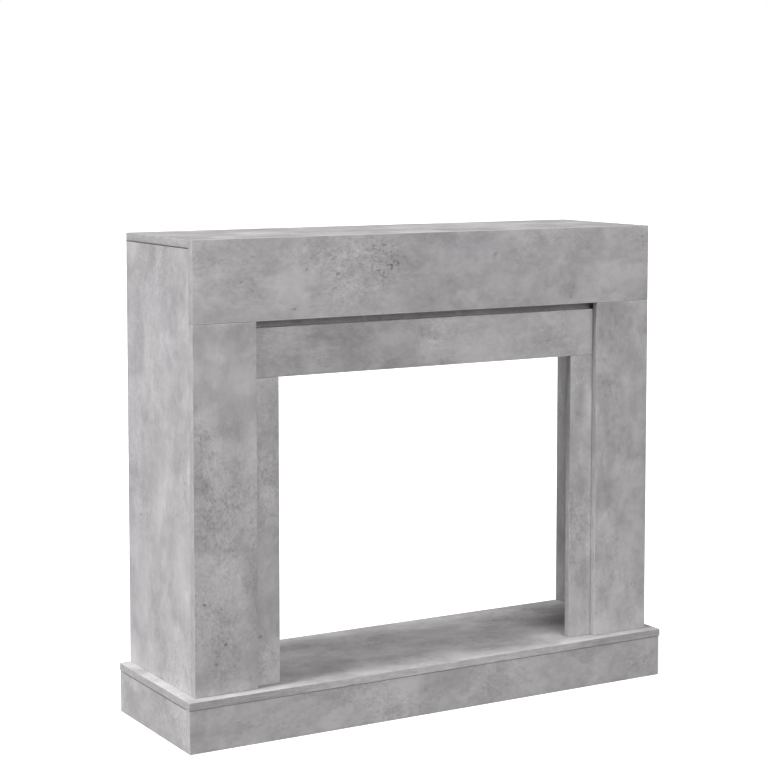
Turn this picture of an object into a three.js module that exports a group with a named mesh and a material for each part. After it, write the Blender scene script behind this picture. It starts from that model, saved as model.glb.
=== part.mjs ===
// A free-standing fireplace mantelpiece, built flat-pack fashion from laminated boards: a box plinth whose
// top is the hearth, two side panels under a top board, a front of fascia and stiles, and behind it a second
// layer of header and legs that frames the open firebox.
// Millimetres, +Z up. The front faces -Y. The origin is on the floor, under the middle of the plinth.
import * as THREE from "three";
import { RoundedBoxGeometry } from "three/addons/geometries/RoundedBoxGeometry.js";

// Boards
const BOARD = 15; // thickness of every board
const EDGE_RADIUS = 0.8; // rounding along each edge of a board
const EDGE_STEPS = 1; // divisions of that rounding
const JOINT = 0.3; // hairline left where one board meets another

// Whole piece
const WIDTH = 1100; // the plinth's top board, end to end
const DEPTH = 330; // the plinth's top board, back to front
const HEIGHT = 960; // floor to the upper face of the mantel

// Plinth
const PLINTH_RISE = 84; // floor to the underside of the plinth's top board
const PLINTH_LIP = 1.5; // how far that board stands past the boards that carry it, in front and at the ends
const LEDGE = 23; // how far that board stands past the body, in front and at the ends

// Front
const FASCIA_HEIGHT = 157; // upper board of the front, across the whole body
const STILE_WIDTH = 132; // upright board of the front, at each side
const SHADOW_GAP = 14; // slot left open between the fascia and the header
const HEADER_HEIGHT = 96; // board across the firebox, one layer back
const LEG_SHOW = 55; // what shows of a leg beside its stile
const RAIL_SETBACK = 36; // backing rail's lower edge above the header's lower edge, out of sight

// Places across the width, for the right side: the left side mirrors them
const plinthEnd = WIDTH / 2 - PLINTH_LIP;
const bodyEnd = WIDTH / 2 - LEDGE;
const sideInner = bodyEnd - BOARD;
const stileInner = bodyEnd - STILE_WIDTH;
const legInner = stileInner - LEG_SHOW;

// Places from front to back: each layer of the front stands one board and one joint behind the last
const back = DEPTH / 2;
const plinthFront = -DEPTH / 2 + PLINTH_LIP;
const bodyFront = -DEPTH / 2 + LEDGE;
const secondLayer = bodyFront + BOARD + JOINT;
const thirdLayer = secondLayer + BOARD + JOINT;

// Levels
const hearthLevel = PLINTH_RISE + BOARD;
const bodyFoot = hearthLevel + JOINT;
const fasciaFoot = HEIGHT - FASCIA_HEIGHT;
const headerHead = fasciaFoot - SHADOW_GAP;
const headerFoot = headerHead - HEADER_HEIGHT;
const topUnderside = HEIGHT - BOARD;

// Concrete-effect laminate, one shade for each layer so that the layers read apart
const laminate = (shade) =>
  new THREE.MeshStandardMaterial({ color: shade, roughness: 0.6, metalness: 0 });
const faceLaminate = laminate(0xa3a1a3);
const innerLaminate = laminate(0x9b999b);
const topLaminate = laminate(0xb9b7ba);

// A board between two opposite corners, each given as [x, y, z], with its edges eased
function board(name, low, high, material) {
  const lowest = new THREE.Vector3(...low);
  const highest = new THREE.Vector3(...high);
  const size = highest.clone().sub(lowest);
  const form = new RoundedBoxGeometry(size.x, size.y, size.z, EDGE_STEPS, EDGE_RADIUS);
  const mesh = new THREE.Mesh(form, material);
  mesh.name = name;
  mesh.position.copy(lowest).add(highest).multiplyScalar(0.5);
  return mesh;
}

// The same board at the left and at the right, given by its inner and outer distance from the middle
function mirroredBoards(name, inner, outer, lowYZ, highYZ, material) {
  return [
    board(`left_${name}`, [-outer, ...lowYZ], [-inner, ...highYZ], material),
    board(`right_${name}`, [inner, ...lowYZ], [outer, ...highYZ], material),
  ];
}

// Box plinth: front and back boards run the full width, with the end boards between them
function plinth() {
  const boardHead = PLINTH_RISE - JOINT;
  const group = new THREE.Group();
  group.add(
    board("plinth_top", [-WIDTH / 2, -DEPTH / 2, PLINTH_RISE], [WIDTH / 2, back, hearthLevel], topLaminate),
    board("plinth_front", [-plinthEnd, plinthFront, 0], [plinthEnd, plinthFront + BOARD, boardHead], faceLaminate),
    board("plinth_back", [-plinthEnd, back - BOARD, 0], [plinthEnd, back, boardHead], faceLaminate),
    ...mirroredBoards(
      "plinth_end",
      plinthEnd - BOARD,
      plinthEnd,
      [plinthFront + BOARD + JOINT, 0],
      [back - BOARD - JOINT, boardHead],
      faceLaminate,
    ),
  );
  return group;
}

// Side panels under the top board, both behind the front layer
function carcass() {
  const group = new THREE.Group();
  group.add(
    board("top_board", [-bodyEnd, secondLayer, topUnderside], [bodyEnd, back, HEIGHT], topLaminate),
    ...mirroredBoards(
      "side_panel",
      sideInner,
      bodyEnd,
      [secondLayer, bodyFoot],
      [back, topUnderside - JOINT],
      faceLaminate,
    ),
  );
  return group;
}

// Front layer: the fascia across the top and a stile under each end of it
function front() {
  const group = new THREE.Group();
  group.add(
    board("fascia", [-bodyEnd, bodyFront, fasciaFoot], [bodyEnd, bodyFront + BOARD, HEIGHT], faceLaminate),
    ...mirroredBoards(
      "stile",
      stileInner,
      bodyEnd,
      [bodyFront, bodyFoot],
      [bodyFront + BOARD, fasciaFoot - JOINT],
      faceLaminate,
    ),
  );
  return group;
}

// Recessed surround: the header on two legs, all between the side panels, and the rail that backs the slot
function surround() {
  const reach = sideInner - JOINT;
  const group = new THREE.Group();
  group.add(
    board("header", [-reach, secondLayer, headerFoot], [reach, secondLayer + BOARD, headerHead], innerLaminate),
    ...mirroredBoards(
      "leg",
      legInner,
      reach,
      [secondLayer, bodyFoot],
      [secondLayer + BOARD, headerFoot - JOINT],
      innerLaminate,
    ),
    board(
      "backing_rail",
      [-reach, thirdLayer, headerFoot + RAIL_SETBACK],
      [reach, thirdLayer + BOARD, topUnderside - JOINT],
      innerLaminate,
    ),
  );
  return group;
}

const mantelpiece = new THREE.Group();
mantelpiece.add(plinth(), carcass(), front(), surround());

export default mantelpiece;
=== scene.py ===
"""A free-standing fireplace mantelpiece of laminated boards with a printed concrete finish.

Metres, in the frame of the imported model: +Z is up, the front faces -Y and the origin is on the
floor under the middle of the plinth. Marks on the prints are placed in millimetres.
"""

import logging
import math
from dataclasses import dataclass, field
from enum import Enum
from typing import Any

import bpy
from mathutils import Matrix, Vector


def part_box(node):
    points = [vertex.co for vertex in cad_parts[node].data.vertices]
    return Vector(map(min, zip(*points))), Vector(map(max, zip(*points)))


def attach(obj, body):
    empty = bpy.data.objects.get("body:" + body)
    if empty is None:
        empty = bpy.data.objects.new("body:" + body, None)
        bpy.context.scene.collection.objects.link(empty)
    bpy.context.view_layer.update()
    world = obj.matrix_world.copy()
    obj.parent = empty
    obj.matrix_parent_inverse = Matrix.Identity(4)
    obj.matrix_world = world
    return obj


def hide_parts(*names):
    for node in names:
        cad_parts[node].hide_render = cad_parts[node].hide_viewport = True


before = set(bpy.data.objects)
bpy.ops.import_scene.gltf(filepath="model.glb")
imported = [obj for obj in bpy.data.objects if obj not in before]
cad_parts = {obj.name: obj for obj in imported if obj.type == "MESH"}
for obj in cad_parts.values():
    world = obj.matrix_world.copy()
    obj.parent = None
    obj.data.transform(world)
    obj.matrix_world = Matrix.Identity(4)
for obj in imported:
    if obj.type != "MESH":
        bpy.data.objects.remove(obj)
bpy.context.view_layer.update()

BODY = "root"
MM = 0.001

Triple = tuple[float, float, float]
Step = tuple[float, float]

WHITE: Triple = (1.0, 1.0, 1.0)

# Middle of a noise, or of anything else that goes from 0 to 1
MIDDLE = 0.5

log = logging.getLogger("mantelpiece")


class Axis(Enum):
    """A direction of the frame, with its place in a vector."""

    X = 0
    Y = 1
    Z = 2

    def share(self, along: float, across: float) -> Triple:
        """One value along this axis and another along the other two."""
        return tuple(along if place == self.value else across for place in range(3))


class Slot(Enum):
    """Material slots of the record."""
    # Kinds of face; each board names its own in the log.

    TOP = "top_face"
    FRONT = "front_face"
    SIDE = "side_face"
    INNER = "inner_face"
    HEARTH = "hearth_face"
    PLINTH = "plinth_face"


class Seen(Enum):
    """Side from which a board's marks are placed, each from its upper left corner as seen."""

    FRONT = "front"
    LEFT = "left"
    RIGHT = "right"
    BACK = "back"
    ABOVE = "above"


class Kind(Enum):
    """What a mark in the print is."""

    CLOUD = "a soft change of tone"
    PIT = "a small dark air hole"
    CRACKLE = "an area of dark curls"
    GRIT = "an area of fine speckle"
    CALM = "a smooth area"
    LILAC = "a tinted area"


@dataclass(frozen=True)
class Grain:
    """A noise: its cells per metre, its finer layers and how strong each is against the last."""

    scale: float
    detail: float
    roughness: float

    def inputs(self, place: "Signal") -> dict[str, Any]:
        """A noise node's inputs, read at a place."""
        return {"Vector": place, "Scale": self.scale, "Detail": self.detail, "Roughness": self.roughness}


class Signal:
    """An output socket that stands in Python expressions: each operator adds a maths node."""

    def __init__(self, bench: "Bench", socket: bpy.types.NodeSocket | None) -> None:
        """Keeps the socket, or None for a node without one, with the bench of its tree."""
        self.bench = bench
        self.socket = socket

    def __add__(self, other: Any) -> "Signal":
        """self + other"""
        return self.bench.maths("ADD", self, other)

    def __radd__(self, other: Any) -> "Signal":
        """other + self"""
        return self.bench.maths("ADD", other, self)

    def __sub__(self, other: Any) -> "Signal":
        """self - other"""
        return self.bench.maths("SUBTRACT", self, other)

    def __rsub__(self, other: Any) -> "Signal":
        """other - self"""
        return self.bench.maths("SUBTRACT", other, self)

    def __mul__(self, other: Any) -> "Signal":
        """self * other"""
        return self.bench.maths("MULTIPLY", self, other)

    def __rmul__(self, other: Any) -> "Signal":
        """other * self"""
        return self.bench.maths("MULTIPLY", other, self)

    def __truediv__(self, other: Any) -> "Signal":
        """self / other"""
        return self.bench.maths("DIVIDE", self, other)

    def __abs__(self) -> "Signal":
        """abs(self)"""
        return self.bench.maths("ABSOLUTE", self)

    def output(self, name: str) -> "Signal":
        """Another output of the same node, by its name."""
        return Signal(self.bench, self.socket.node.outputs[name])

    def rise(self, low: float, high: float) -> "Signal":
        """0 up to low and 1 from high on, with a smooth step between them."""
        return self.bench.smooth_step(self, (low, high), (0.0, 1.0))

    def fall(self, low: float, high: float) -> "Signal":
        """1 up to low and 0 from high on, with a smooth step between them."""
        return self.bench.smooth_step(self, (low, high), (1.0, 0.0))


class Bench:
    """Adds nodes to one shader or geometry tree."""

    def __init__(self, tree: bpy.types.NodeTree) -> None:
        """Takes the tree to work on."""
        self.tree = tree

    def node(
        self, kind: str, settings: dict[str, Any] | None = None, values: dict[Any, Any] | None = None
    ) -> Signal:
        """Adds a node of any kind.

        Args:
            kind: the node's type.
            settings: its own properties, which are set first.
            values: for each input, by identifier, name or place, a link or a plain value.

        Returns:
            The node's first output in use, or an empty signal where it has none.
        """
        made = self.tree.nodes.new(kind)
        for name, setting in (settings or {}).items():
            setattr(made, name, setting)
        for name, value in (values or {}).items():
            self._feed(self._input(made, name), value)
        used = [socket for socket in made.outputs if socket.enabled]
        return Signal(self, used[0] if used else None)

    def maths(self, operation: str, *operands: Any) -> Signal:
        """Adds a Math node, or a Vector Math node where an operand is a vector or a colour.

        Args:
            operation: the node's operation.
            operands: signals, numbers or triples, in order.

        Returns:
            The result.
        """
        spread = any(self._is_vector(operand) for operand in operands)
        kind = "ShaderNodeVectorMath" if spread else "ShaderNodeMath"
        return self.node(kind, {"operation": operation}, dict(enumerate(operands)))

    def smooth_step(self, value: Signal, between: tuple[Any, Any], ends: Step) -> Signal:
        """Adds a smooth step from one number to another.

        Args:
            value: what the step reads.
            between: where on that value it starts and ends.
            ends: the numbers before and after it.

        Returns:
            The stepped value.
        """
        (low, high), (first, last) = between, ends
        settings = {"interpolation_type": "SMOOTHSTEP"}
        values = {"Value": value, "From Min": low, "From Max": high, "To Min": first, "To Max": last}
        return self.node("ShaderNodeMapRange", settings, values)

    def blend(self, share: Any, first: Any, second: Any) -> Signal:
        """Two colours mixed, with share telling how much of the second there is."""
        values = {"Factor_Float": share, "A_Color": first, "B_Color": second}
        return self.node("ShaderNodeMix", {"data_type": "RGBA"}, values)

    def scaled(self, vector: Any, share: Any) -> Signal:
        """A vector or colour multiplied by one number."""
        return self.maths("SCALE", vector, 0.0, 0.0, share)

    def arris(self) -> Signal:
        """How much a point lies on a board's rounded edge, as its mesh keeps it."""
        return self.node("ShaderNodeAttribute", {"attribute_name": BoardTree.ARRIS}).output("Fac")

    def noise(self, place: Signal, grain: Grain) -> Signal:
        """A noise with its middle at zero, mostly within a quarter of it."""
        return self.node("ShaderNodeTexNoise", None, grain.inputs(place)) - MIDDLE

    def inward(self, place: Signal, axis: Axis, at_high_end: bool, low: Vector, high: Vector) -> Signal:
        """Measures how far a place is from one end of a board.

        Args:
            place: place in the frame.
            axis: the axis that runs through the end.
            at_high_end: whether it is the end where that axis is highest.
            low: the board's lowest corner.
            high: its highest corner.

        Returns:
            The distance in metres.
        """
        part = self.node("ShaderNodeSeparateXYZ", None, {"Vector": place}).output(axis.name)
        if at_high_end:
            return high[axis.value] - part
        return part - low[axis.value]

    @staticmethod
    def _is_vector(operand: Any) -> bool:
        """Whether an operand has three parts.

        Args:
            operand: a signal or a plain value.

        Returns:
            True for a vector or a colour.
        """
        if isinstance(operand, Signal):
            return operand.socket.type in {"VECTOR", "RGBA"}
        return isinstance(operand, (tuple, Vector))

    @staticmethod
    def _input(made: bpy.types.Node, name: Any) -> bpy.types.NodeSocket:
        """Finds an input of a node.

        Args:
            made: the node.
            name: the input's place, its identifier, or the name of one in use.

        Returns:
            The input's socket.
        """
        if isinstance(name, int):
            return made.inputs[name]
        by_identifier = [socket for socket in made.inputs if socket.identifier == name]
        by_name = [socket for socket in made.inputs if socket.name == name and socket.enabled]
        return (by_identifier + by_name)[0]

    def _feed(self, socket: bpy.types.NodeSocket, value: Any) -> None:
        """Links a signal to an input, or sets a plain value on it.

        Args:
            socket: the input.
            value: a signal, a number, a triple or a setting of the socket's own kind.
        """
        if isinstance(value, Signal):
            self.tree.links.new(value.socket, socket)
        elif socket.type == "RGBA":
            socket.default_value = (*value, 1.0)
        elif socket.type == "VECTOR" and isinstance(value, (int, float)):
            socket.default_value = (value, value, value)
        else:
            socket.default_value = value


class Paint:
    """A new material with its shader tree emptied and a bench to fill it."""

    def __init__(self, name: str) -> None:
        """Makes the material with nothing in it but the place of a point.

        Args:
            name: the material's name.
        """
        self.material = bpy.data.materials.new(name)
        self.material.use_nodes = True
        tree = self.material.node_tree
        tree.nodes.clear()
        self.bench = Bench(tree)
        self.place = self.bench.node("ShaderNodeTexCoord").output("Object")

    def shifted(self, seed: int, step: Triple, scale: Triple = WHITE) -> Signal:
        """Moves the place by a board's seed, so that no two boards show the same print.

        Args:
            seed: the board's own number.
            step: how far one seed moves the print along each axis.
            scale: what each part of the place is multiplied by.

        Returns:
            The moved place.
        """
        moved = tuple(part * seed for part in step)
        values = {"Vector": self.place, "Location": moved, "Scale": scale}
        return self.bench.node("ShaderNodeMapping", None, values)

    def finish(self, colour: Signal, roughness: Signal, height: Signal, relief: float, gloss: float) -> None:
        """Adds the surface shader and the output.

        Args:
            colour: base colour.
            roughness: surface roughness.
            height: what the bump reads.
            relief: depth in metres of a height of one.
            gloss: specular level.
        """
        bumped = {"Strength": 1.0, "Distance": relief, "Height": height}
        normal = self.bench.node("ShaderNodeBump", None, bumped)
        values = {
            "Base Color": colour,
            "Roughness": roughness,
            "Specular IOR Level": gloss,
            "Normal": normal,
        }
        shader = self.bench.node("ShaderNodeBsdfPrincipled", None, values)
        self.bench.node("ShaderNodeOutputMaterial", None, {"Surface": shader})


@dataclass(frozen=True)
class Mark:
    """One mark of a print, placed in millimetres from the board's upper left corner as seen."""

    kind: Kind
    along: float
    down: float
    reach_along: float
    reach_down: float
    strength: float
    tilt: float = 0.0

    PIT_CORE = 0.25

    def area(self, bench: Bench, plan: Signal) -> Signal:
        """Works out how much a point belongs to the mark.

        Args:
            bench: where nodes are added.
            plan: place on the board's face, in metres.

        Returns:
            The mark's strength in its middle, falling to 0 at its reach.
        """
        values = {
            "Vector": plan,
            "Location": (self.along * MM, self.down * MM, 0.0),
            "Rotation": (0.0, 0.0, math.radians(self.tilt)),
            "Scale": (self.reach_along * MM, self.reach_down * MM, 1.0),
        }
        inside = bench.node("ShaderNodeMapping", {"vector_type": "TEXTURE"}, values)
        core = self.PIT_CORE if self.kind is Kind.PIT else 0.0
        return bench.maths("LENGTH", inside).fall(core, 1.0) * self.strength


@dataclass(frozen=True)
class Fade:
    """A change of tone that starts at one end of a board and dies away from there."""

    axis: Axis
    at_high_end: bool
    reach: float
    change: float
    core: float = 0.0

    LINE_CORE = 0.5

    @classmethod
    def head(cls, reach: float, change: float, core: float = 0.0) -> "Fade":
        """A change at a board's head."""
        return cls(Axis.Z, True, reach, change, core)

    @classmethod
    def foot(cls, reach: float, change: float, core: float = 0.0) -> "Fade":
        """A change at a board's foot."""
        return cls(Axis.Z, False, reach, change, core)

    @classmethod
    def right(cls, reach: float, change: float, core: float = 0.0) -> "Fade":
        """A change at a board's right end."""
        return cls(Axis.X, True, reach, change, core)

    @classmethod
    def head_line(cls, width: float, change: float) -> "Fade":
        """A fine line along a board's head."""
        return cls.head(width, change, cls.LINE_CORE)

    def share(self, bench: Bench, place: Signal, low: Vector, high: Vector) -> Signal:
        """What the tone is multiplied by at a place on a board between two corners."""
        inward = bench.inward(place, self.axis, self.at_high_end, low, high)
        return 1.0 + inward.fall(self.reach * self.core, self.reach) * self.change


@dataclass(frozen=True)
class ConcretePrint:
    """Concrete-effect print of one board's faces, with a painted highlight on its eased edges and the
    painted light and shade of its fades: how strong each layer is, and its marks.
    """

    name: str
    seed: int
    seen: Seen
    grain: Axis
    paper: Triple
    cloud: float = 0.24
    mottle: float = 0.78
    island: float = 0.09
    block: float = 0.22
    streak: float = 0.22
    fine: float = 0.58
    speck: float = 0.16
    curl: float = 0.34
    # How much paler the eased edges are painted, a painted highlight
    arris: float = 0.30
    tint: float = 0.35
    roughness: float = 0.56
    gloss: float = 0.28
    marks: tuple[Mark, ...] = ()
    fades: tuple[Fade, ...] = ()

    # Hues laid over the paper
    LILAC = (1.0, 0.970, 1.030)
    WARM = (1.006, 0.998, 0.996)

    # How far one seed moves the print, and how much the grain draws it out
    SEED_STEP = (1.37, 2.11, 0.73)
    GRAIN_DRAW = 0.72
    STREAK_DRAW = 0.16

    # Noises that shape the layers, from the broadest to the finest
    CLOUDS = Grain(5.0, 2.0, 0.55)
    ISLANDS = Grain(10.0, 4.0, 0.65)
    MOTTLING = Grain(15.0, 3.0, 0.80)
    WANDER = Grain(24.0, 3.0, 0.6)
    STREAKS = Grain(95.0, 3.0, 0.75)
    CURLS = Grain(125.0, 2.0, 0.62)
    FINE = Grain(140.0, 3.0, 0.75)
    SPECKS = Grain(230.0, 1.0, 0.5)

    # Noises that choose where a layer is strong
    ROUGH_AREAS = Grain(6.0, 1.0, 0.5)
    TINTED_AREAS = Grain(7.0, 1.0, 0.5)
    STREAKED_AREAS = Grain(9.0, 1.0, 0.5)
    CURLED_AREAS = Grain(13.0, 1.0, 0.5)

    # How rough the ground is: how far its areas differ, what all have and what a gritty mark adds
    ROUGH_SPREAD = 2.2
    ROUGH_BASE = 0.55
    ROUGH_OF_GRIT = 0.8

    # Smooth steps that turn the noises into areas
    ISLAND_STEP = (-0.01, 0.06)
    ROUGH_STEP = (0.15, 1.25)
    TINT_STEP = (0.02, 0.22)
    STREAK_STEP = (-0.02, 0.16)
    CURL_STEP = (-0.16, -0.02)
    CURLED_STEP = (0.10, 0.26)
    PALE_SPECK_STEP = (0.09, 0.20)
    DARK_SPECK_STEP = (-0.20, -0.09)

    # Strength of the small layers on smooth ground, and what rough ground adds
    FINE_ON_SMOOTH = 0.25
    FINE_ON_ROUGH = 0.95
    SPECKS_ON_SMOOTH = 0.1
    SPECKS_ON_ROUGH = 0.9
    PITS_ON_ROUGH = 0.10

    # Dark specks against pale ones, and curls outside the crackled areas against those inside
    DARK_SPECKS = 1.2
    RARE_CURLS = 0.45

    # How far the warp moves a place, in metres, and its share on marks and on fine layers
    WARP_REACH = 0.045
    WARP_OF_MARKS = 0.5
    WARP_OF_FINE = 0.35

    # Patches per metre, how soft they are and how far they are moved about
    BLOCKS = {"Scale": 15.0, "Smoothness": 0.40, "Randomness": 0.9}

    # Air holes: cells per metre, which cells have one, least size and spread, its body and its rim
    PIT_CELLS = 42.0
    PIT_CHOICE = (0.90, 0.94)
    PIT_SIZES = (0.018, 0.030)
    PIT_BODY = (0.35, 1.0)
    PIT_RIM = (1.0, 2.2)

    # How much darker or paler a full hole, drawn hole, rim and crackled area are
    PIT_TONE = 0.45
    DRAWN_PIT_TONE = 0.55
    PIT_RIM_TONE = 0.03
    CRACKLE_TONE = 0.05

    # What the layers do to the surface, and the depth in metres of a height of one
    DULL_PRINT = 0.3
    DULL_PITS = 0.2
    BRIGHT_TEXTURE = 0.03
    RELIEF = 0.12 * MM

    def material(self, low: Vector, high: Vector) -> bpy.types.Material:
        """Makes the material for a board.

        Args:
            low: the board's lowest corner.
            high: its highest corner.

        Returns:
            The material.
        """
        paint = Paint(self.name)
        bench = paint.bench
        place = paint.shifted(self.seed, self.SEED_STEP, self.grain.share(self.GRAIN_DRAW, 1.0))
        warp = self._warp(bench, place)
        plan = self._plan(bench, paint.place, low, high) + bench.scaled(warp, self.WARP_OF_MARKS)
        warped = place + warp
        eased = place + bench.scaled(warp, self.WARP_OF_FINE)

        grit = self._total(bench, plan, Kind.GRIT) - self._total(bench, plan, Kind.CALM)
        areas = bench.noise(place, self.ROUGH_AREAS) * self.ROUGH_SPREAD + self.ROUGH_BASE
        texture = (areas + grit * self.ROUGH_OF_GRIT).rise(*self.ROUGH_STEP)
        crackle = self._total(bench, plan, Kind.CRACKLE)

        cloud = bench.noise(warped, self.CLOUDS) * self.cloud
        mottle = bench.noise(eased, self.MOTTLING) * self.mottle
        islands = (bench.noise(warped, self.ISLANDS).rise(*self.ISLAND_STEP) - MIDDLE) * self.island
        blocks = self._blocks(bench, eased) * self.block
        streaks = self._streaks(bench, eased) * self.streak
        fine_share = texture * self.FINE_ON_ROUGH + self.FINE_ON_SMOOTH
        fine = bench.noise(place, self.FINE) * fine_share * self.fine
        specks = self._specks(bench, place, texture) * self.speck
        curls = self._curls(bench, place, crackle) * self.curl
        pits, rims = self._pits(bench, place, texture)
        drawn_pits = self._total(bench, plan, Kind.PIT)
        marks = self._total(bench, plan, Kind.CLOUD)

        tone = 1.0 + cloud + mottle + islands + blocks + streaks + fine + specks + marks
        tone = tone - curls - crackle * self.CRACKLE_TONE + rims * self.PIT_RIM_TONE
        tone = tone * (1.0 - pits * self.PIT_TONE) * (1.0 - drawn_pits * self.DRAWN_PIT_TONE)
        # Fades: painted light and shade towards the board's ends
        for fade in self.fades:
            tone = tone * fade.share(bench, paint.place, low, high)
        # Painted highlight: the eased edges painted paler
        tone = tone * (1.0 + bench.arris() * self.arris)
        colour = bench.scaled(self._ink(bench, place, plan), tone)

        roughness = self.roughness + (mottle + fine) * self.DULL_PRINT + pits * self.DULL_PITS
        roughness = roughness - texture * self.BRIGHT_TEXTURE
        height = fine + specks - curls - pits - drawn_pits
        paint.finish(colour, roughness, height, self.RELIEF, self.gloss)
        return paint.material

    def _ink(self, bench: Bench, place: Signal, plan: Signal) -> Signal:
        """The paper's colour, warm in places and lilac in others.

        Args:
            bench: where nodes are added.
            place: place in the print.
            plan: place on the board's face.

        Returns:
            The colour.
        """
        lilac = bench.noise(place, self.TINTED_AREAS).rise(*self.TINT_STEP) * self.tint
        lilac = lilac + self._total(bench, plan, Kind.LILAC)
        return bench.blend(lilac, self._inked(self.WARM), self._inked(self.LILAC))

    def _inked(self, hue: Triple) -> Triple:
        """The paper's colour with a hue laid over it."""
        return tuple(paper * share for paper, share in zip(self.paper, hue))

    def _plan(self, bench: Bench, place: Signal, low: Vector, high: Vector) -> Signal:
        """Turns a place in the frame into one on the board's face.

        Args:
            bench: where nodes are added.
            place: place in the frame.
            low: the board's lowest corner.
            high: its highest corner.

        Returns:
            A vector of the distances along and down from the upper left corner as seen, and 0.
        """
        left_end, upper_end = {
            Seen.FRONT: ((Axis.X, False), (Axis.Z, True)),
            Seen.BACK: ((Axis.X, True), (Axis.Z, True)),
            Seen.LEFT: ((Axis.Y, True), (Axis.Z, True)),
            Seen.RIGHT: ((Axis.Y, False), (Axis.Z, True)),
            Seen.ABOVE: ((Axis.X, False), (Axis.Y, True)),
        }[self.seen]
        along = bench.inward(place, *left_end, low, high)
        down = bench.inward(place, *upper_end, low, high)
        return bench.node("ShaderNodeCombineXYZ", None, {"X": along, "Y": down})

    def _warp(self, bench: Bench, place: Signal) -> Signal:
        """A small wandering shift in metres, so that no mark has a drawn outline."""
        wander = bench.node("ShaderNodeTexNoise", None, self.WANDER.inputs(place)).output("Color")
        return bench.scaled(wander - MIDDLE, self.WARP_REACH)

    def _total(self, bench: Bench, plan: Signal, kind: Kind) -> Any:
        """The marks of one kind, added up, or plain 0 where there are none."""
        areas = [mark.area(bench, plan) for mark in self.marks if mark.kind is kind]
        return sum(areas[1:], areas[0]) if areas else 0.0

    def _blocks(self, bench: Bench, place: Signal) -> Signal:
        """Soft upright and level patches, as a shuttering board leaves them.

        Args:
            bench: where nodes are added.
            place: place in the print.

        Returns:
            The patches, with their middle at zero.
        """
        settings = {"feature": "SMOOTH_F1", "distance": "CHEBYCHEV"}
        cells = bench.node("ShaderNodeTexVoronoi", settings, {"Vector": place, **self.BLOCKS})
        return bench.node("ShaderNodeSeparateColor", None, {"Color": cells.output("Color")}) - MIDDLE

    def _streaks(self, bench: Bench, place: Signal) -> Signal:
        """Fine drawn-out streaks along the grain, strong in some areas only.

        Args:
            bench: where nodes are added.
            place: place in the print.

        Returns:
            The streaks, with their middle at zero.
        """
        stretched = place * self.grain.share(self.STREAK_DRAW, 1.0)
        where = bench.noise(place, self.STREAKED_AREAS).rise(*self.STREAK_STEP)
        return bench.noise(stretched, self.STREAKS) * where

    def _curls(self, bench: Bench, place: Signal, area: Any) -> Signal:
        """Small dark curls, all over a crackled area and rare elsewhere.

        Args:
            bench: where nodes are added.
            place: place in the print.
            area: how crackled the print is there.

        Returns:
            How dark the curls are.
        """
        curl = bench.noise(place, self.CURLS).fall(*self.CURL_STEP)
        rare = bench.noise(place, self.CURLED_AREAS).rise(*self.CURLED_STEP)
        return curl * (rare * self.RARE_CURLS + area)

    def _specks(self, bench: Bench, place: Signal, texture: Signal) -> Signal:
        """Scattered light and dark grains of a few millimetres, thick where the print is rough.

        Args:
            bench: where nodes are added.
            place: place in the print.
            texture: how rough the print is there.

        Returns:
            The grains, light ones above zero and dark ones below it.
        """
        grains = bench.noise(place, self.SPECKS)
        dark = grains.fall(*self.DARK_SPECK_STEP) * self.DARK_SPECKS
        shade = grains.rise(*self.PALE_SPECK_STEP) - dark
        return shade * (texture * self.SPECKS_ON_ROUGH + self.SPECKS_ON_SMOOTH)

    def _pits(self, bench: Bench, place: Signal, texture: Signal) -> tuple[Signal, Signal]:
        """Scattered air holes.

        Args:
            bench: where nodes are added.
            place: place in the print.
            texture: how rough the print is there.

        Returns:
            The holes, and the pale rims around them.
        """
        cells = bench.node("ShaderNodeTexVoronoi", None, {"Vector": place, "Scale": self.PIT_CELLS})
        parts = bench.node("ShaderNodeSeparateColor", None, {"Color": cells.output("Color")})
        chosen = (parts.output("Red") + texture * self.PITS_ON_ROUGH).rise(*self.PIT_CHOICE)
        smallest, spread = self.PIT_SIZES
        reach = cells.output("Distance") / (parts.output("Green") * spread + smallest)
        return reach.fall(*self.PIT_BODY) * chosen, reach.fall(*self.PIT_RIM) * chosen


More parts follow.
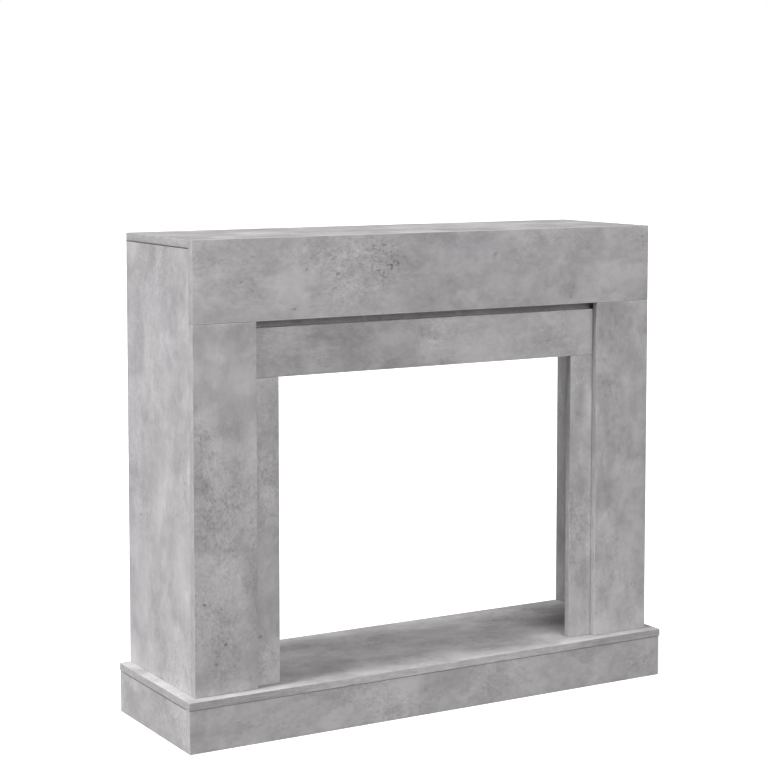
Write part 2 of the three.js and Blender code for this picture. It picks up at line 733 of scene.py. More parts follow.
@dataclass(frozen=True)
class EdgeBand:
    """Edge banding: a strip of the same print with finer streaks along it, painted paler along its rims and
    eased edges as a painted highlight.
    """

    name: str
    seed: int
    thickness: Axis
    paper: Triple
    streak: float = 0.82
    mottle: float = 0.70
    speck: float = 0.18
    # How much paler the eased edges are painted, a painted highlight
    arris: float = 0.30
    roughness: float = 0.52
    gloss: float = 0.30
    fades: tuple[Fade, ...] = ()

    # How far one seed moves the print, and how much finer its streaks are across the band
    SEED_STEP = (0.91, 1.73, 2.39)
    STREAK_DRAW = 7.0

    # Noises of the print, and the smooth step that turns one of them into specks
    STREAKS = Grain(38.0, 4.0, 0.72)
    MOTTLING = Grain(26.0, 5.0, 0.78)
    SPECKS = Grain(330.0, 1.0, 0.6)
    SPECK_STEP = (-0.24, -0.15)

    # The painted highlight along each rim of the band: where it starts and ends, as shares of the thickness,
    # and how much paler it is
    RIM = (0.40, 0.5)
    RIM_HIGHLIGHT = 0.04

    # What the print does to the surface, and the depth in metres of a height of one
    DULL_PRINT = 0.3
    RELIEF = 0.05 * MM

    def material(self, low: Vector, high: Vector) -> bpy.types.Material:
        """Makes the material for a board's edges.

        Args:
            low: the board's lowest corner.
            high: its highest corner.

        Returns:
            The material.
        """
        paint = Paint(self.name)
        bench = paint.bench
        place = paint.shifted(self.seed, self.SEED_STEP)
        drawn = place * self.thickness.share(self.STREAK_DRAW, 1.0)
        streaks = bench.noise(drawn, self.STREAKS) * self.streak
        mottle = bench.noise(place, self.MOTTLING) * self.mottle
        specks = bench.noise(place, self.SPECKS).fall(*self.SPECK_STEP) * self.speck
        print_tone = streaks + mottle

        parts = bench.node("ShaderNodeSeparateXYZ", None, {"Vector": paint.place})
        across = parts.output(self.thickness.name)
        end = self.thickness.value
        middle = (low[end] + high[end]) / 2
        starts, ends = ((high[end] - low[end]) * share for share in self.RIM)
        # Painted highlight: the band paler near each rim and on its eased edges
        rim_highlight = 1.0 + abs(across - middle).rise(starts, ends) * self.RIM_HIGHLIGHT

        tone = (1.0 + print_tone - specks) * rim_highlight * (1.0 + bench.arris() * self.arris)
        for fade in self.fades:
            tone = tone * fade.share(bench, paint.place, low, high)
        colour = bench.scaled(self.paper, tone)
        roughness = self.roughness + print_tone * self.DULL_PRINT
        paint.finish(colour, roughness, print_tone, self.RELIEF, self.gloss)
        return paint.material


class BoardTree:
    """Geometry tree that shapes every board: a block between two corners with eased edges."""

    ARRIS = "arris"
    LEAST_ARRIS = 0.001
    LEAST_FACING = 0.6

    def __init__(self) -> None:
        """Builds the tree once, for all boards."""
        self.tree = bpy.data.node_groups.new("Eased board", "GeometryNodeTree")
        self.sockets: dict[str, str] = {}
        for name, kind in (
            ("Low corner", "NodeSocketVector"),
            ("High corner", "NodeSocketVector"),
            ("Edge radius", "NodeSocketFloat"),
            ("Edge steps", "NodeSocketInt"),
            ("Across", "NodeSocketVector"),
            ("Face finish", "NodeSocketMaterial"),
            ("Band finish", "NodeSocketMaterial"),
        ):
            made = self.tree.interface.new_socket(name, in_out="INPUT", socket_type=kind)
            self.sockets[name] = made.identifier
        self.tree.interface.new_socket("Board", in_out="OUTPUT", socket_type="NodeSocketGeometry")

        bench = Bench(self.tree)
        given = bench.node("NodeGroupInput")
        block, outward = self._block(bench, given)
        board = self._dressed(bench, given, self._eased(bench, block, outward))
        bench.node("NodeGroupOutput", None, {"Board": board})

    def _block(self, bench: Bench, given: Signal) -> tuple[Signal, Signal]:
        """Draws the outer rows of a grid block out into rounded edges.

        Args:
            bench: where nodes are added.
            given: the tree's inputs.

        Returns:
            The block, and the direction in which each of its points faces.
        """
        low, high = given.output("Low corner"), given.output("High corner")
        radius, steps = given.output("Edge radius"), given.output("Edge steps")
        rows = steps * 2.0 + 2.0
        counts = {"Size": (2.0, 2.0, 2.0), "Vertices X": rows, "Vertices Y": rows, "Vertices Z": rows}
        block = bench.node("GeometryNodeMeshCube", None, counts)
        at = bench.node("GeometryNodeInputPosition")
        side = at / abs(at)
        inner = bench.maths("DIVIDE", 1.0, rows - 1.0)
        turn = bench.maths("MAXIMUM", (abs(at) - inner) / (1.0 - inner), 0.0)
        outward = bench.maths("NORMALIZE", side * bench.maths("TANGENT", turn * (math.pi / 4)))
        centre = (low + high) * 0.5
        reach = (high - low) * 0.5 - radius
        shaped = centre + side * reach + outward * radius
        return bench.node("GeometryNodeSetPosition", None, {"Geometry": block, "Position": shaped}), outward

    def _eased(self, bench: Bench, board: Signal, outward: Signal) -> Signal:
        """Keeps how much each point lies on a rounded edge, and shades those edges smooth.

        Args:
            bench: where nodes are added.
            board: the block.
            outward: the direction in which each point faces.

        Returns:
            The block with that attribute and shading.
        """
        parts = bench.node("ShaderNodeSeparateXYZ", None, {"Vector": abs(outward)})
        largest = bench.maths("MAXIMUM", parts.output("X"), parts.output("Y"))
        largest = bench.maths("MAXIMUM", largest, parts.output("Z"))
        arris = (1.0 - largest).rise(0.0, 1.0 - math.sqrt(0.5))
        settings = {"data_type": "FLOAT", "domain": "POINT"}
        kept = {"Geometry": board, "Name": self.ARRIS, "Value": arris}
        board = bench.node("GeometryNodeStoreNamedAttribute", settings, kept)
        rounded = bench.node("GeometryNodeInputNamedAttribute", {"data_type": "FLOAT"}, {"Name": self.ARRIS})
        smooth = {"Geometry": board, "Shade Smooth": bench.maths("GREATER_THAN", rounded, self.LEAST_ARRIS)}
        return bench.node("GeometryNodeSetShadeSmooth", None, smooth)

    def _dressed(self, bench: Bench, given: Signal, board: Signal) -> Signal:
        """Gives the broad faces one finish and the edges between them the other.

        Args:
            bench: where nodes are added.
            given: the tree's inputs.
            board: the shaped board.

        Returns:
            The finished board.
        """
        board = bench.node("GeometryNodeRealizeInstances", None, {"Geometry": board})
        faced = {"Geometry": board, "Material": given.output("Face finish")}
        board = bench.node("GeometryNodeSetMaterial", None, faced)
        normal = bench.node("GeometryNodeInputNormal")
        facing = abs(bench.maths("DOT_PRODUCT", normal, given.output("Across")))
        on_edge = bench.maths("LESS_THAN", facing, self.LEAST_FACING)
        banded = {"Geometry": board, "Selection": on_edge, "Material": given.output("Band finish")}
        return bench.node("GeometryNodeSetMaterial", None, banded)

    def make(self, name: str, values: dict[str, Any]) -> bpy.types.Object:
        """Shapes one board and turns it into a plain mesh.

        Args:
            name: the new object's name.
            values: the tree's inputs, by name.

        Returns:
            The board's object, at the origin, with its place in its mesh.
        """
        piece = bpy.data.objects.new(name, bpy.data.meshes.new(name))
        bpy.context.scene.collection.objects.link(piece)
        modifier = piece.modifiers.new("Eased board", "NODES")
        modifier.node_group = self.tree
        for title, value in values.items():
            modifier[self.sockets[title]] = value
        depsgraph = bpy.context.evaluated_depsgraph_get()
        shaped = bpy.data.meshes.new_from_object(
            piece.evaluated_get(depsgraph), preserve_all_data_layers=True, depsgraph=depsgraph
        )
        piece.modifiers.remove(modifier)
        piece.data = shaped
        return piece


@dataclass
class Board:
    """One laminated board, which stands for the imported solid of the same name."""

    node: str
    slot: Slot
    across: Axis
    face: ConcretePrint
    band: EdgeBand
    edge_radius: float = 0.8 * MM
    edge_steps: int = 2
    clearance: float = 0.001 * MM
    piece: bpy.types.Object | None = None

    def build(self, tree: BoardTree) -> None:
        """Shapes the board inside its solid's box and lets it stand for that solid.

        Args:
            tree: the geometry tree that shapes boards.
        """
        low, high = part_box(self.node)
        inset = Vector((self.clearance, self.clearance, self.clearance))
        values = {
            "Low corner": low + inset,
            "High corner": high - inset,
            "Edge radius": self.edge_radius,
            "Edge steps": self.edge_steps,
            "Across": self.across.share(1.0, 0.0),
            "Face finish": self.face.material(low, high),
            "Band finish": self.band.material(low, high),
        }
        self.piece = tree.make(f"{self.node}_board", values)
        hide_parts(self.node)
        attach(self.piece, BODY)

    def report(self) -> None:
        """Logs what was made."""
        faces = len(self.piece.data.polygons)
        log.info("%s: %d faces, finish %s, slot %s", self.piece.name, faces, self.face.name, self.slot.value)


@dataclass
class Assembly:
    """A set of boards that are built and dressed together."""

    boards: list[Board] = field(default_factory=list)

    def build(self, tree: BoardTree) -> None:
        """Plans the boards, then builds and reports each.

        Args:
            tree: the geometry tree that shapes boards.
        """
        self.boards = self.plan()
        for board in self.boards:
            board.build(tree)
            board.report()

    def plan(self) -> list[Board]:
        """The assembly's boards, each with its finishes."""
        raise NotImplementedError


# Colour of the paper under each print and of the edge bands, before any layer
FRONT_PAPER = (0.332, 0.325, 0.326)
SIDE_PAPER = (0.332, 0.326, 0.331)
INNER_PAPER = (0.334, 0.327, 0.328)
# Darker paper on the mantel's top: painted shade against the strong light it takes
TOP_SHADED_PAPER = (0.282, 0.275, 0.278)
# Paler paper on the hearth: painted light
HEARTH_LIT_PAPER = (0.385, 0.377, 0.380)
# Paler paper on the backing rail: painted light in the slot's shade
RAIL_PAINTED_LIGHT_PAPER = (0.445, 0.436, 0.438)
BAND_PAPER = (0.288, 0.282, 0.286)
# Darker papers of the bands that face into the recess and the firebox: painted shade
RETURN_SHADE_PAPER = (0.319, 0.313, 0.317)
INNER_RETURN_SHADE_PAPER = (0.278, 0.272, 0.273)

# Painted highlight: how much paler the eased edges of the front's boards are painted, and those of the side
# panels
FRONT_EDGE_HIGHLIGHT = 0.45
SIDE_EDGE_HIGHLIGHT = 0.05

# Painted light: feet grow paler towards the hearth as painted bounce light, and a pale line runs where
# fascia and stile meet, a painted highlight
BOUNCE_LIGHT_REACH = 35.0 * MM
HIGHLIGHT_HEAD_LINE = Fade.head_line(2.4 * MM, 0.22)
HIGHLIGHT_FOOT_LINE = Fade.foot(2.2 * MM, 0.18, Fade.LINE_CORE)


@dataclass
class Plinth(Assembly):
    """Box plinth: four upright boards under the hearth board."""

    # Painted shade: a dark line along the head of each board under the hearth board's edge, wider and darker
    # on the ends
    shade_line_width: float = 1.6 * MM
    shade_line_depth: float = 0.5
    end_shade_line_width: float = 2.4 * MM
    end_shade_line_depth: float = 0.8
    hearth_roughness: float = 0.72
    hearth_gloss: float = 0.16

    def plan(self) -> list[Board]:
        """The hearth board and the four boards that carry it."""
        ends = [self._end(Seen.LEFT, seed=37), self._end(Seen.RIGHT, seed=39)]
        return [self._hearth(), self._front(), self._back(), *ends]

    def _hearth(self) -> Board:
        """The plinth's top board, whose band is paler in its middle and to its right.

        Returns:
            The board.
        """
        # Painted light and shade: paler along the front edge where light reaches, darker inside the firebox,
        # most near the right leg
        marks = (
            Mark(Kind.CLOUD, 850, 90, 110, 90, -0.17),
            Mark(Kind.CLOUD, 820, 215, 130, 70, -0.22),
            Mark(Kind.CLOUD, 820, 330, 300, 44, 0.24),
            Mark(Kind.CLOUD, 905, 262, 160, 60, 0.26),
            Mark(Kind.CLOUD, 520, 246, 150, 50, -0.10),
            Mark(Kind.CLOUD, 690, 262, 120, 44, -0.12),
        )
        dull = {"roughness": self.hearth_roughness, "gloss": self.hearth_gloss}
        face = ConcretePrint(
            "Hearth print with painted light and shade", 31, Seen.ABOVE, Axis.X, HEARTH_LIT_PAPER, streak=0.5, marks=marks, **dull
        )
        fades = (Fade.right(0.92, 0.31, core=0.82), Fade.right(0.27, -0.24, core=0.6))
        band = EdgeBand("Hearth edge band", 32, Axis.Z, BAND_PAPER, fades=fades)
        return Board("plinth_top", Slot.HEARTH, Axis.Z, face, band)

    def _front(self) -> Board:
        """The plinth's long front board.

        Returns:
            The board.
        """
        marks = (
            Mark(Kind.CRACKLE, 98, 44, 46, 36, 0.55),
            Mark(Kind.CLOUD, 92, 42, 34, 26, -0.05),
            Mark(Kind.CLOUD, 210, 45, 80, 56, 0.13),
            Mark(Kind.CLOUD, 60, 70, 90, 34, 0.12),
            Mark(Kind.CLOUD, 190, 80, 130, 34, 0.08),
            Mark(Kind.CLOUD, 230, 26, 44, 20, 0.05),
            Mark(Kind.CLOUD, 450, 36, 90, 40, 0.05),
            Mark(Kind.CLOUD, 300, 44, 240, 90, 0.03),
            Mark(Kind.CLOUD, 600, 30, 60, 60, -0.05),
            Mark(Kind.CLOUD, 657, 44, 9, 46, 0.07),
            Mark(Kind.CLOUD, 690, 70, 14, 16, -0.10),
            Mark(Kind.CLOUD, 790, 40, 70, 70, -0.13),
            Mark(Kind.CALM, 850, 44, 90, 60, 0.9),
            Mark(Kind.CLOUD, 905, 24, 24, 16, -0.09),
            Mark(Kind.GRIT, 1040, 46, 90, 50, 0.8),
            Mark(Kind.CLOUD, 1060, 46, 90, 60, 0.10),
            Mark(Kind.CLOUD, 550, 42, 1200, 300, 0.03),
        )
        # Painted shade under the hearth board's edge
        shade_line = Fade.head_line(self.shade_line_width, -self.shade_line_depth)
        face = ConcretePrint(
            "Plinth front print", 33, Seen.FRONT, Axis.X, FRONT_PAPER, marks=marks, fades=(shade_line,)
        )
        band = EdgeBand("Plinth front edge band", 34, Axis.Y, SIDE_PAPER)
        return Board("plinth_front", Slot.PLINTH, Axis.Y, face, band)

    def _back(self) -> Board:
        """The plinth's long back board, which goes to the wall.

        Returns:
            The board.
        """
        # Painted shade under the hearth board's edge
        shade_line = Fade.head_line(self.shade_line_width, -self.shade_line_depth)
        face = ConcretePrint("Plinth back print", 35, Seen.BACK, Axis.X, FRONT_PAPER, fades=(shade_line,))
        band = EdgeBand("Plinth back edge band", 36, Axis.Y, SIDE_PAPER)
        return Board("plinth_back", Slot.PLINTH, Axis.Y, face, band)

    def _end(self, side: Seen, seed: int) -> Board:
        """A short board at one end of the plinth.

        Args:
            side: the side it is seen from.
            seed: its print's own number.

        Returns:
            The board.
        """
        title = f"Plinth {side.value} end"
        marks = (Mark(Kind.CLOUD, 175, 56, 150, 60, 0.12), Mark(Kind.CLOUD, 10, 20, 60, 60, -0.07))
        # Painted shade under the hearth board's edge, wider and darker on the ends
        shade_line = Fade.head_line(self.end_shade_line_width, -self.end_shade_line_depth)
        face = ConcretePrint(f"{title} print", seed, side, Axis.Y, SIDE_PAPER, marks=marks, fades=(shade_line,))
        band = EdgeBand(f"{title} edge band", seed + 1, Axis.X, SIDE_PAPER)
        return Board(f"{side.value}_plinth_end", Slot.PLINTH, Axis.X, face, band)


@dataclass
class Carcass(Assembly):
    """Top board on two side panels."""

    # Painted shade: lines along each side panel's head and front, and the right panel's darker inner face
    shade_line_width: float = 2.6 * MM
    shade_line_depth: float = 0.85
    front_shade_line_width: float = 3.0 * MM
    front_shade_line_depth: float = 0.07
    inner_shade: float = 0.25
    top_roughness: float = 0.80
    top_gloss: float = 0.10

    def plan(self) -> list[Board]:
        """The top board and the side panels."""
        return [self._top(), self._left(), self._right()]

    def _shade_lines(self) -> tuple[Fade, Fade]:
        """Painted shade: a dark line along the head of each side panel, under the top board, and a faint one
        along its front.
        """
        front = Fade(Axis.Y, False, self.front_shade_line_width, -self.front_shade_line_depth, Fade.LINE_CORE)
        return Fade.head_line(self.shade_line_width, -self.shade_line_depth), front

    def _top(self) -> Board:
        """The mantel's top board.

        Returns:
            The board.
        """
        dull = {"roughness": self.top_roughness, "gloss": self.top_gloss}
        # Its paper is darker than the front's, a painted shade
        face = ConcretePrint("Mantel top print with painted shade", 11, Seen.ABOVE, Axis.X, TOP_SHADED_PAPER, streak=0.4, **dull)
        band = EdgeBand("Mantel top edge band", 12, Axis.Z, BAND_PAPER)
        return Board("top_board", Slot.TOP, Axis.Z, face, band)

    def _left(self) -> Board:
        """The left side panel, which shows in full.

        Returns:
            The board.
        """
        marks = (
            Mark(Kind.LILAC, 20, 420, 70, 520, 0.7),
            Mark(Kind.CLOUD, 150, 60, 300, 150, -0.14),
            Mark(Kind.CLOUD, 250, 175, 70, 70, -0.10),
            Mark(Kind.CLOUD, 276, 190, 40, 170, -0.12),
            Mark(Kind.CLOUD, 160, 240, 70, 60, -0.10),
            Mark(Kind.CLOUD, 153, 243, 30, 36, -0.06),
            Mark(Kind.CLOUD, 200, 370, 70, 70, 0.10),
            Mark(Kind.CLOUD, 230, 630, 52, 110, 0.28),
            Mark(Kind.CLOUD, 268, 655, 50, 70, 0.20),
            Mark(Kind.CLOUD, 16, 815, 70, 60, 0.32),
            Mark(Kind.CLOUD, 185, 330, 50, 44, 0.05),
            Mark(Kind.CLOUD, 190, 366, 20, 16, -0.10),
            Mark(Kind.CLOUD, 225, 368, 10, 24, -0.07),
            Mark(Kind.CLOUD, 45, 260, 30, 70, -0.04),
            Mark(Kind.CLOUD, 205, 470, 14, 110, 0.04, 4),
            Mark(Kind.CLOUD, 100, 533, 18, 12, -0.09),
            Mark(Kind.PIT, 62, 535, 4.4, 4.8, 0.8),
            Mark(Kind.CLOUD, 276, 560, 80, 270, 0.10),
            Mark(Kind.CLOUD, 288, 150, 30, 260, -0.13),
        )
        # Painted shade lines at the head and front, and painted bounce light towards the foot
        fades = (*self._shade_lines(), Fade.foot(BOUNCE_LIGHT_REACH, 0.08))
        face = ConcretePrint(
            "Left side print", 13, Seen.LEFT, Axis.Z, SIDE_PAPER, arris=SIDE_EDGE_HIGHLIGHT, marks=marks, fades=fades
        )
        band = EdgeBand("Left side edge band", 14, Axis.X, SIDE_PAPER)
        return Board("left_side_panel", Slot.SIDE, Axis.X, face, band)

    def _right(self) -> Board:
        """The right side panel, whose inner face shows beside the right leg and is painted darker, a painted
        shade.

        Returns:
            The board.
        """
        # Painted shade: the inner face darker
        inner = Fade(Axis.X, False, 4 * MM, -self.inner_shade)
        fades = (*self._shade_lines(), inner)
        face = ConcretePrint(
            "Right side print", 15, Seen.RIGHT, Axis.Z, SIDE_PAPER, arris=SIDE_EDGE_HIGHLIGHT, fades=fades
        )
        band = EdgeBand("Right side edge band", 16, Axis.X, SIDE_PAPER)
        return Board("right_side_panel", Slot.SIDE, Axis.X, face, band)


@dataclass
class Front(Assembly):
    """Fascia with a stile under each end."""

    def plan(self) -> list[Board]:
        """The front layer's three boards."""
        return [self._fascia(), self._left(), self._right()]

    def _fascia(self) -> Board:
        """The wide upper board of the front.

        Returns:
            The board.
        """
        marks = (
            Mark(Kind.CLOUD, 215, 92, 190, 60, 0.08, -14),
            Mark(Kind.CLOUD, 150, 84, 70, 50, 0.10),
            Mark(Kind.CLOUD, 300, 74, 80, 50, 0.18),
            Mark(Kind.CALM, 250, 90, 130, 60, 0.7),
            Mark(Kind.CLOUD, 82, 110, 44, 44, -0.05),
            Mark(Kind.CLOUD, 90, 8, 170, 56, -0.20),
            Mark(Kind.CRACKLE, 396, 24, 48, 34, 1.05),
            Mark(Kind.CRACKLE, 418, 62, 60, 62, 1.4),
            Mark(Kind.CLOUD, 432, 52, 46, 56, -0.05),
            Mark(Kind.GRIT, 360, 70, 170, 80, 1.0),
            Mark(Kind.CLOUD, 610, 80, 330, 180, -0.15),
            Mark(Kind.CLOUD, 14, 140, 80, 60, -0.10),
            Mark(Kind.CLOUD, 590, 16, 170, 64, -0.14),
            Mark(Kind.LILAC, 620, 30, 120, 36, 0.8),
            Mark(Kind.CLOUD, 862, 66, 34, 90, -0.06),
            Mark(Kind.CLOUD, 290, 142, 70, 40, -0.12),
            Mark(Kind.CLOUD, 895, 96, 90, 90, -0.18),
            Mark(Kind.CLOUD, 1035, 80, 60, 130, 0.11),
            Mark(Kind.CALM, 950, 70, 180, 110, 0.6),
            Mark(Kind.PIT, 242, 61, 5.0, 4.4, 0.55),
            Mark(Kind.PIT, 307, 75, 6.4, 5.0, 0.8),
            Mark(Kind.PIT, 213, 136, 5.2, 3.8, 0.65),
            Mark(Kind.PIT, 670, 47, 8.0, 6.0, 0.45),
            Mark(Kind.LILAC, 1050, 80, 16, 200, 0.7),
        )
        # Painted highlight line along the fascia's foot
        fades = (HIGHLIGHT_FOOT_LINE,)
        face = ConcretePrint(
            "Fascia print", 1, Seen.FRONT, Axis.X, FRONT_PAPER, arris=FRONT_EDGE_HIGHLIGHT, marks=marks, fades=fades
        )
        band = EdgeBand("Fascia edge band", 2, Axis.Y, BAND_PAPER)
        return Board("fascia", Slot.FRONT, Axis.Y, face, band)

    def _stile_print(
        self, side: Seen, seed: int, mottle: float, foot: Fade, marks: tuple[Mark, ...]
    ) -> ConcretePrint:
        """A stile's print.

        Args:
            side: the end of the front that the stile stands at.
            seed: the print's own number.
            mottle: how strong its mottling is.
            foot: its painted bounce light, paler towards the hearth.
            marks: its marks.

        Returns:
            The print.
        """
        title = f"{side.value.capitalize()} stile print"
        strengths = {"mottle": mottle, "arris": FRONT_EDGE_HIGHLIGHT}
        # Painted bounce light at the foot and a painted highlight line at the head
        fades = (foot, HIGHLIGHT_HEAD_LINE)
        return ConcretePrint(
            title, seed, Seen.FRONT, Axis.Z, FRONT_PAPER, marks=marks, fades=fades, **strengths
        )

    def _left(self) -> Board:
        """The left stile.

        Returns:
            The board.
        """
        marks = (
            Mark(Kind.CLOUD, 88, 24, 36, 30, -0.07),
            Mark(Kind.CLOUD, 66, 6, 140, 80, -0.16),
            Mark(Kind.CLOUD, 6, 60, 80, 150, -0.22),
            Mark(Kind.CLOUD, 4, 270, 60, 140, -0.24),
            Mark(Kind.CLOUD, 120, 310, 60, 300, 0.20),
            Mark(Kind.CLOUD, 116, 110, 50, 80, 0.14),
            Mark(Kind.CLOUD, 84, 118, 70, 64, 0.09),
            Mark(Kind.CLOUD, 30, 112, 20, 24, -0.04),
            Mark(Kind.CLOUD, 126, 135, 22, 26, -0.09),
            Mark(Kind.CALM, 60, 90, 120, 120, 1.0),
            Mark(Kind.CRACKLE, 18, 214, 34, 40, 0.6),
            Mark(Kind.GRIT, 66, 430, 130, 320, 0.75),
            Mark(Kind.CLOUD, 34, 296, 26, 30, -0.06),
            Mark(Kind.CLOUD, 64, 436, 46, 34, 0.05),
            Mark(Kind.CLOUD, 62, 590, 90, 90, -0.13),
            Mark(Kind.PIT, 21, 529, 5.6, 4.4, 1.0),
            Mark(Kind.PIT, 60, 540, 3.6, 3.6, 0.4),
            Mark(Kind.PIT, 65, 611, 5.4, 4.6, 0.8),
            Mark(Kind.PIT, 45, 647, 5.6, 5.2, 0.6),
            Mark(Kind.PIT, 27, 300, 4.4, 4.4, 0.3),
        )
        # Painted bounce light: the stile's face paler towards the hearth, and its band paler towards the
        # foot
        foot = Fade.foot(BOUNCE_LIGHT_REACH, 0.22)
        face = self._stile_print(Seen.LEFT, seed=3, mottle=0.64, foot=foot, marks=marks)
        band = EdgeBand("Left stile edge band", 4, Axis.Y, BAND_PAPER, fades=(Fade.foot(0.45, 0.13),))
        return Board("left_stile", Slot.FRONT, Axis.Y, face, band)

    def _right(self) -> Board:
        """The right stile, whose band shows beside the right leg, darker as painted shade, and is painted
        paler below as painted bounce light.

        Returns:
            The board.
        """
        marks = (
            Mark(Kind.CLOUD, 84, 34, 110, 90, -0.17),
            Mark(Kind.CLOUD, 66, 90, 130, 110, -0.08),
            Mark(Kind.CLOUD, 66, 300, 150, 110, -0.12),
            Mark(Kind.CLOUD, 18, 121, 22, 9, -0.09),
            Mark(Kind.CLOUD, 46, 174, 52, 14, -0.12, 6),
            Mark(Kind.CLOUD, 34, 248, 28, 34, -0.05),
            Mark(Kind.CLOUD, 92, 226, 22, 26, -0.04),
            Mark(Kind.CLOUD, 22, 425, 50, 60, -0.15),
            Mark(Kind.CLOUD, 60, 600, 130, 170, 0.20),
            Mark(Kind.CLOUD, 56, 528, 11, 20, -0.11),
            Mark(Kind.CLOUD, 101, 528, 9, 20, -0.08),
            Mark(Kind.CRACKLE, 16, 630, 22, 60, 0.4),
            Mark(Kind.CALM, 70, 330, 110, 190, 0.8),
            Mark(Kind.LILAC, 130, 350, 16, 800, 0.8),
        )
        # Painted bounce light: the face paler towards the hearth and the band, more so, paler below
        foot = Fade.foot(BOUNCE_LIGHT_REACH * 2, 0.18)
        face = self._stile_print(Seen.RIGHT, seed=5, mottle=0.95, foot=foot, marks=marks)
        painted_light_below = Fade.foot(0.42, 0.40, core=0.5)
        band = EdgeBand("Right stile edge band", 6, Axis.Y, RETURN_SHADE_PAPER, fades=(painted_light_below,))
        return Board("right_stile", Slot.FRONT, Axis.Y, face, band)


@dataclass
class Surround(Assembly):
    """Recessed header and legs, with the rail that backs the slot over the header."""

    def plan(self) -> list[Board]:
        """The second layer's three boards and the backing rail."""
        return [self._header(), self._left(), self._right(), self._rail()]

    def _header(self) -> Board:
        """The board across the firebox.

        Returns:
            The board.
        """
        marks = (
            Mark(Kind.CLOUD, 330, 55, 190, 140, -0.27),
            Mark(Kind.CLOUD, 400, 50, 900, 300, -0.05),
            Mark(Kind.CLOUD, 200, 50, 130, 110, -0.08),
            Mark(Kind.CALM, 190, 50, 170, 140, 0.9),
            Mark(Kind.CLOUD, 640, 50, 240, 130, 0.05),
            Mark(Kind.GRIT, 520, 40, 60, 50, 0.9),
            Mark(Kind.CLOUD, 200, 60, 70, 16, -0.06, -16),
        )
        face = ConcretePrint(
            "Header print", 21, Seen.FRONT, Axis.X, INNER_PAPER, mottle=0.62, streak=0.5, marks=marks
        )
        band = EdgeBand("Header edge band", 22, Axis.Y, INNER_PAPER)
        return Board("header", Slot.INNER, Axis.Y, face, band)

    def _leg(self, side: Seen, seed: int, foot: Fade, marks: tuple[Mark, ...], band: EdgeBand) -> Board:
        """A leg.

        Args:
            side: the side of the firebox that it stands at.
            seed: its print's own number.
            foot: its painted bounce light, paler towards the hearth.
            marks: its marks.
            band: its edge band.

        Returns:
            The board.
        """
        title = f"{side.value.capitalize()} leg print"
        # Painted bounce light at the foot and a painted highlight line at the head
        fades = (foot, HIGHLIGHT_HEAD_LINE)
        face = ConcretePrint(
            title, seed, Seen.FRONT, Axis.Z, INNER_PAPER, arris=FRONT_EDGE_HIGHLIGHT, marks=marks, fades=fades
        )
        return Board(f"{side.value}_leg", Slot.INNER, Axis.Y, face, band)

    def _left(self) -> Board:
        """The left leg.

        Returns:
            The board.
        """
        marks = (
            Mark(Kind.CLOUD, 140, 300, 300, 700, 0.05),
            Mark(Kind.CLOUD, 140, 175, 60, 60, 0.08),
            Mark(Kind.CLOUD, 140, 390, 60, 90, 0.11),
            Mark(Kind.PIT, 128, 497, 5.4, 4.4, 0.65),
            Mark(Kind.GRIT, 140, 540, 60, 60, 1.0),
            Mark(Kind.CLOUD, 140, 560, 30, 40, 0.05),
        )
        band = EdgeBand("Left leg edge band", 24, Axis.Y, INNER_PAPER)
        # Painted bounce light: the leg's face paler towards the hearth
        foot = Fade.foot(BOUNCE_LIGHT_REACH, 0.10)
        return self._leg(Seen.LEFT, seed=23, foot=foot, marks=marks, band=band)

    def _right(self) -> Board:
        """The right leg, whose band shows in the firebox, darker as painted shade, and is painted paler
        below as painted light.

        Returns:
            The board.
        """
        marks = (
            Mark(Kind.CLOUD, 30, 84, 34, 24, -0.06),
            Mark(Kind.CLOUD, 24, 260, 40, 40, -0.05),
            Mark(Kind.CLOUD, 28, 320, 60, 90, -0.30),
            Mark(Kind.CLOUD, 28, 90, 60, 90, -0.08),
            Mark(Kind.CLOUD, 30, 480, 50, 90, -0.08),
            Mark(Kind.CLOUD, 30, 600, 60, 90, 0.07),
            Mark(Kind.CLOUD, 53, 420, 12, 420, 0.20),
            Mark(Kind.LILAC, 4, 300, 16, 500, 0.6),
        )
        # Painted light: the band paler below and the face paler towards the hearth
        painted_light_below = Fade.foot(0.45, 0.36, core=0.5)
        band = EdgeBand("Right leg edge band", 26, Axis.Y, INNER_RETURN_SHADE_PAPER, fades=(painted_light_below,))
        foot = Fade.foot(BOUNCE_LIGHT_REACH, 0.16)
        return self._leg(Seen.RIGHT, seed=25, foot=foot, marks=marks, band=band)

    def _rail(self) -> Board:
        """The rail that closes the slot.

        Returns:
            The board.
        """
        # Its paper is painted paler, painted light in the slot
        face = ConcretePrint("Backing rail print with painted light", 27, Seen.FRONT, Axis.X, RAIL_PAINTED_LIGHT_PAPER)
        band = EdgeBand("Backing rail edge band", 28, Axis.Y, INNER_PAPER)
        return Board("backing_rail", Slot.INNER, Axis.Y, face, band)


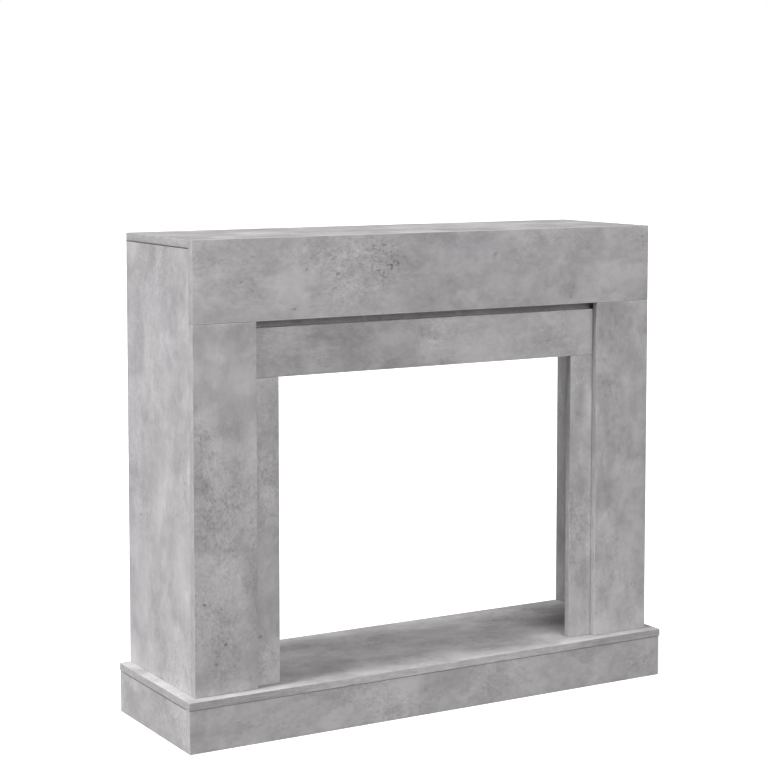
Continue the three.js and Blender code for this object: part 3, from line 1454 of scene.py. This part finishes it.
@dataclass
class Studio:
    """Pale floor, a glow in front, faint light all round, a sun high on the left and a low one behind."""

    floor_size: float = 60.0
    floor_drop: float = 0.2 * MM
    floor_colour: Triple = (0.60, 0.60, 0.60)
    floor_glow: float = 0.66
    floor_bounce: Triple = (0.25, 0.25, 0.25)
    ambient: float = 0.25
    fill: float = 5.15
    fill_edge: float = 0.85
    fill_place: Triple = (-0.05, -0.84, 0.54)
    key_direction: Triple = (0.707, 0.0, -0.707)
    key_strength: float = 4.95
    key_softness: float = 17.0
    back_direction: Triple = (-0.62, -0.78, 0.0)
    back_strength: float = 3.2
    back_softness: float = 24.0

    def build(self) -> None:
        """Adds the floor, the surroundings and the lamps, the one behind kept out of reflections."""
        self._floor()
        self._surroundings()
        self._lamp("Key", self.key_direction, self.key_strength, self.key_softness)
        back = self._lamp("Back light", self.back_direction, self.back_strength, self.back_softness)
        back.visible_glossy = False

    def _floor(self) -> None:
        """Adds the pale floor, a hair below the plinth's foot."""
        half = self.floor_size / 2
        corners = [(-half, -half), (half, -half), (half, half), (-half, half)]
        mesh = bpy.data.meshes.new("floor")
        mesh.from_pydata([(x, y, -self.floor_drop) for x, y in corners], [], [(0, 1, 2, 3)])
        floor = bpy.data.objects.new("floor", mesh)
        bpy.context.scene.collection.objects.link(floor)
        floor.data.materials.append(self._floor_finish())

    def _floor_finish(self) -> bpy.types.Material:
        """Pale to look at, but throws little light up at the boards.

        Returns:
            The material.
        """
        paint = Paint("Studio floor")
        bench = paint.bench
        looked_at = bench.node("ShaderNodeLightPath").output("Is Camera Ray")
        dull = bench.node("ShaderNodeBsdfDiffuse", None, {"Color": self.floor_bounce})
        pale = bench.node("ShaderNodeBsdfDiffuse", None, {"Color": self.floor_colour})
        lit = bench.node("ShaderNodeEmission", None, {"Color": WHITE, "Strength": self.floor_glow})
        shown = bench.node("ShaderNodeAddShader", None, {0: pale, 1: lit})
        floor = bench.node("ShaderNodeMixShader", None, {0: looked_at, 1: dull, 2: shown})
        bench.node("ShaderNodeOutputMaterial", None, {"Surface": floor})
        return paint.material

    def _surroundings(self) -> None:
        """White to the camera; to the boards a glow in front and faint light elsewhere."""
        world = bpy.data.worlds.new("Studio")
        world.use_nodes = True
        tree = world.node_tree
        tree.nodes.clear()
        bench = Bench(tree)
        seen = bench.node("ShaderNodeLightPath").output("Is Camera Ray")
        towards = bench.node("ShaderNodeTexCoord").output("Generated")
        facing = bench.maths("DOT_PRODUCT", towards, self.fill_place)
        lit = facing.rise(self.fill_edge, 1.0) * self.fill + self.ambient
        strength = seen + (1.0 - seen) * lit
        white = bench.node("ShaderNodeBackground", None, {"Color": WHITE, "Strength": strength})
        bench.node("ShaderNodeOutputWorld", None, {"Surface": white})
        bpy.context.scene.world = world

    def _lamp(self, name: str, direction: Triple, strength: float, softness: float) -> bpy.types.Object:
        """Adds a soft sun.

        Args:
            name: the lamp's name.
            direction: where its light goes.
            strength: light on a surface that faces it.
            softness: how wide the sun is, in degrees.

        Returns:
            The lamp's object.
        """
        lamp = bpy.data.lights.new(name, "SUN")
        lamp.energy = strength
        lamp.angle = math.radians(softness)
        holder = bpy.data.objects.new(name, lamp)
        holder.rotation_euler = Vector(direction).to_track_quat("-Z", "Y").to_euler()
        bpy.context.scene.collection.objects.link(holder)
        return holder


@dataclass
class Portrait:
    """Camera at the photograph's angle: from the left of the front, a little above the mantel.

    Place and sight are in metres, turn and tip in degrees, and the lens in millimetres.
    """

    place: Triple = (-2.0913, -3.5216, 1.1804)
    turn: float = 30.29
    tip: float = 4.647
    lens: float = 94.59
    shift: float = -0.13
    sight: float = 200.0

    def build(self) -> None:
        """Adds the camera and makes it the scene's own."""
        view = bpy.data.cameras.new("Portrait")
        view.lens = self.lens
        view.shift_y = self.shift
        view.clip_end = self.sight
        camera = bpy.data.objects.new("Portrait", view)
        camera.location = self.place
        camera.rotation_euler = (math.radians(90 - self.tip), 0.0, math.radians(-self.turn))
        bpy.context.scene.collection.objects.link(camera)
        bpy.context.scene.camera = camera


def main() -> None:
    """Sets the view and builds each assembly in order."""
    logging.basicConfig(level=logging.INFO, format="%(name)s: %(message)s")
    bpy.context.scene.view_settings.view_transform = "Standard"
    Portrait().build()
    Studio().build()
    tree = BoardTree()
    for assembly in (Plinth(), Carcass(), Front(), Surround()):
        assembly.build(tree)


if __name__ == "__main__":
    main()
